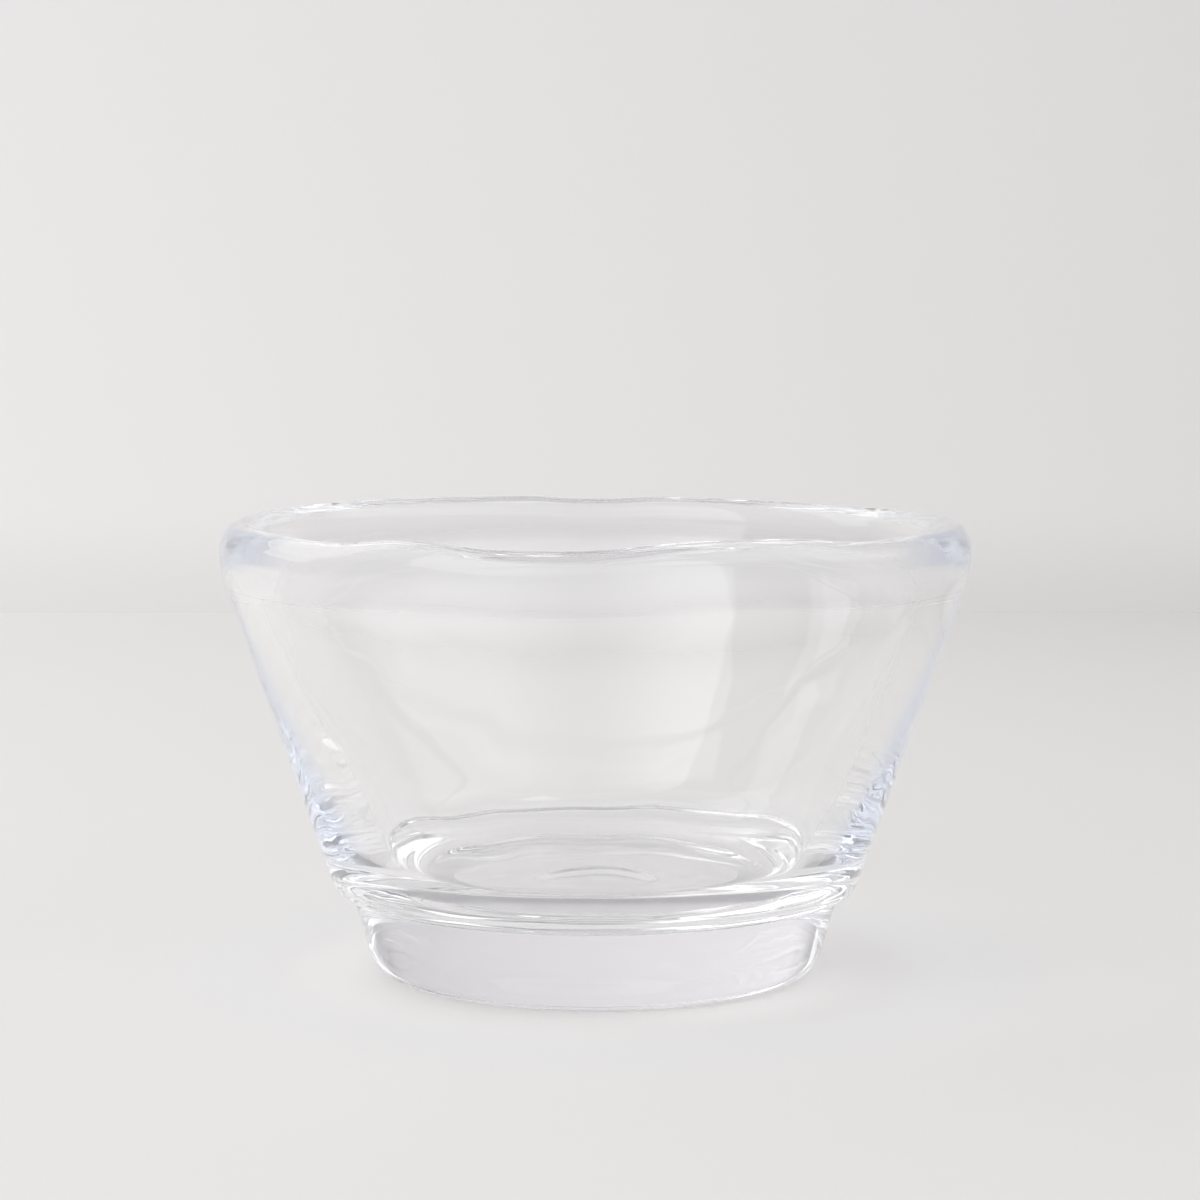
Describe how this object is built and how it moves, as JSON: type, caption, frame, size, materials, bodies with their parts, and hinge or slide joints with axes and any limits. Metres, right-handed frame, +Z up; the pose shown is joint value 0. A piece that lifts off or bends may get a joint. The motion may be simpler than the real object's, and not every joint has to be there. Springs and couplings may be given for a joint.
{
  "type": "glass breakfast bowl",
  "caption": "Heavy clear glass bowl: a flared cup on a solid tapered foot, with a small ledge between them and a thick rounded rim, for serving breakfast.",
  "frame": {"origin": "centre of the foot's underside, at the table", "axes": "+Z up along the axis that the bowl is turned about; the viewer in the picture is on the -Y side, so +X is to the right"},
  "size_m": [0.14, 0.14, 0.0854],
  "materials": {
    "clear_glass": "fire polished, clear"
  },
  "bodies": {
    "root": {"foot": "clear_glass", "cup": "clear_glass", "rim": "clear_glass"}
  },
  "joints": []
}
